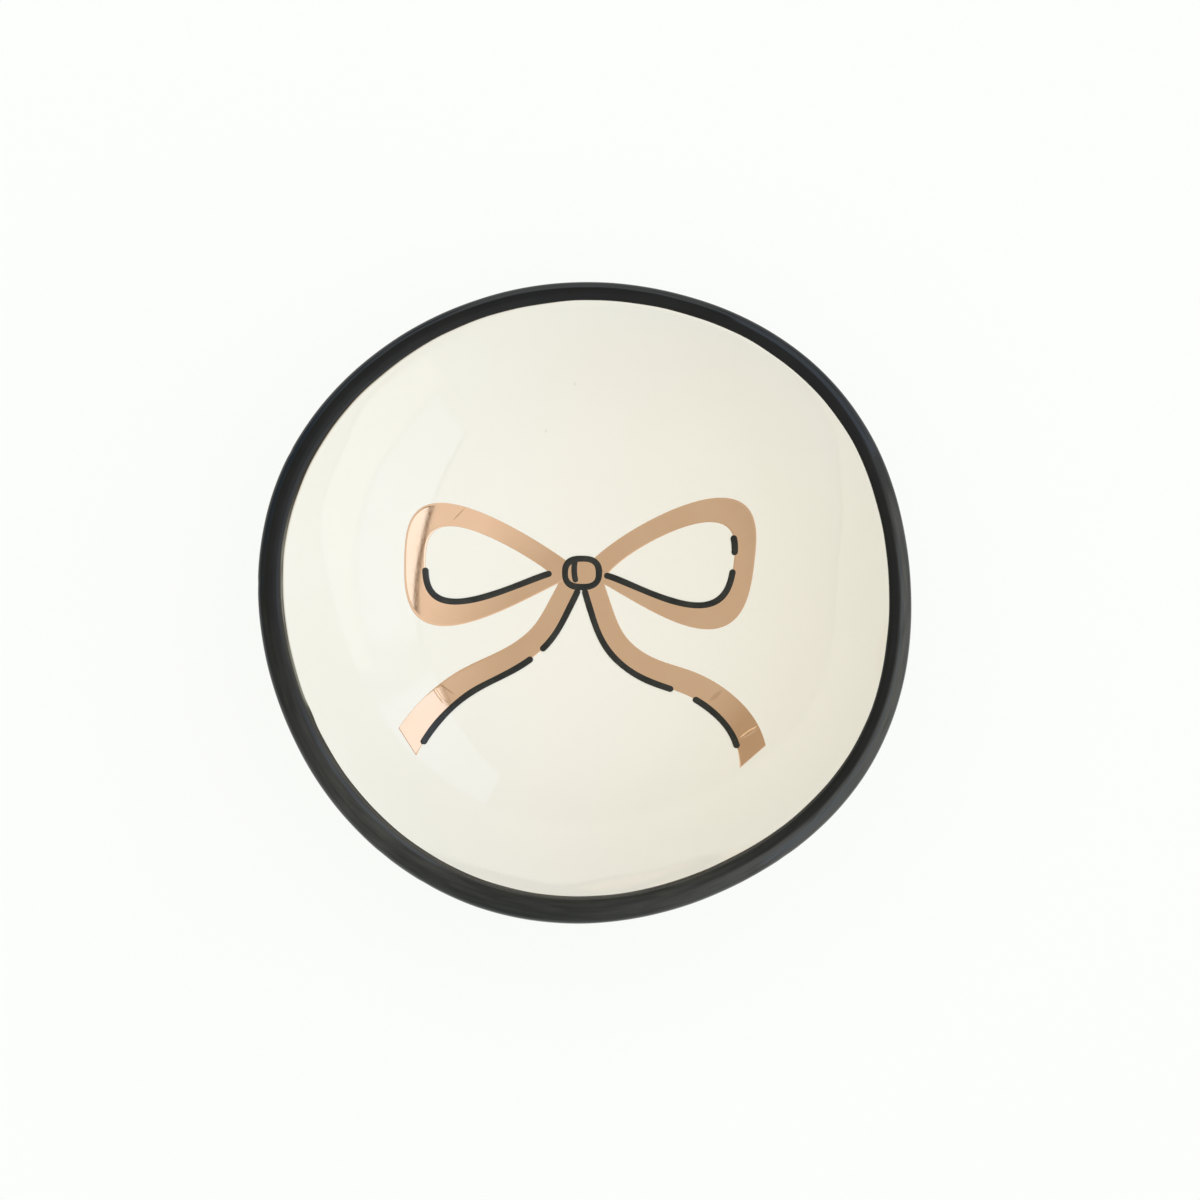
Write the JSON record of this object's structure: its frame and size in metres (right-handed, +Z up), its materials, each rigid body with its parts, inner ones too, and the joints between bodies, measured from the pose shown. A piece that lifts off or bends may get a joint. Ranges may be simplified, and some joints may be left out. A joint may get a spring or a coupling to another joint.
{
  "type": "ring dish",
  "caption": "Small round ceramic dish with a shallow bowl on a foot ring, cream glaze, a black band over its uneven lip and a gold ribbon bow on its floor, for holding rings.",
  "frame": {"origin": "on the table, under the middle of the dish and of its foot ring", "axes": "+Z up out of the bowl, +X to the right of the printed bow, +Y towards the bow's top"},
  "size_m": [0.1015, 0.1018, 0.0286],
  "materials": {
    "fired_clay": "bare, matt",
    "cream_glaze": "gloss",
    "black_glaze": "gloss",
    "gold_lustre": "bright metallic lustre",
    "black_ink": "gloss"
  },
  "bodies": {
    "root": {"clay_body": "fired_clay", "inner_glaze": "cream_glaze", "outer_glaze": "cream_glaze", "base_glaze": "cream_glaze", "rim_band": "black_glaze", "bow_knot": "gold_lustre", "bow_loop_left": "gold_lustre", "bow_loop_right": "gold_lustre", "bow_tail_left": "gold_lustre", "bow_tail_right": "gold_lustre", "ink_knot": "black_ink", "ink_crease": "black_ink", "ink_loop_left": "black_ink", "ink_loop_right": "black_ink", "ink_tail_left": "black_ink", "ink_tail_right": "black_ink", "ink_tail_end_left": "black_ink", "ink_tail_end_right": "black_ink", "ink_loop_end_right": "black_ink"}
  },
  "joints": []
}
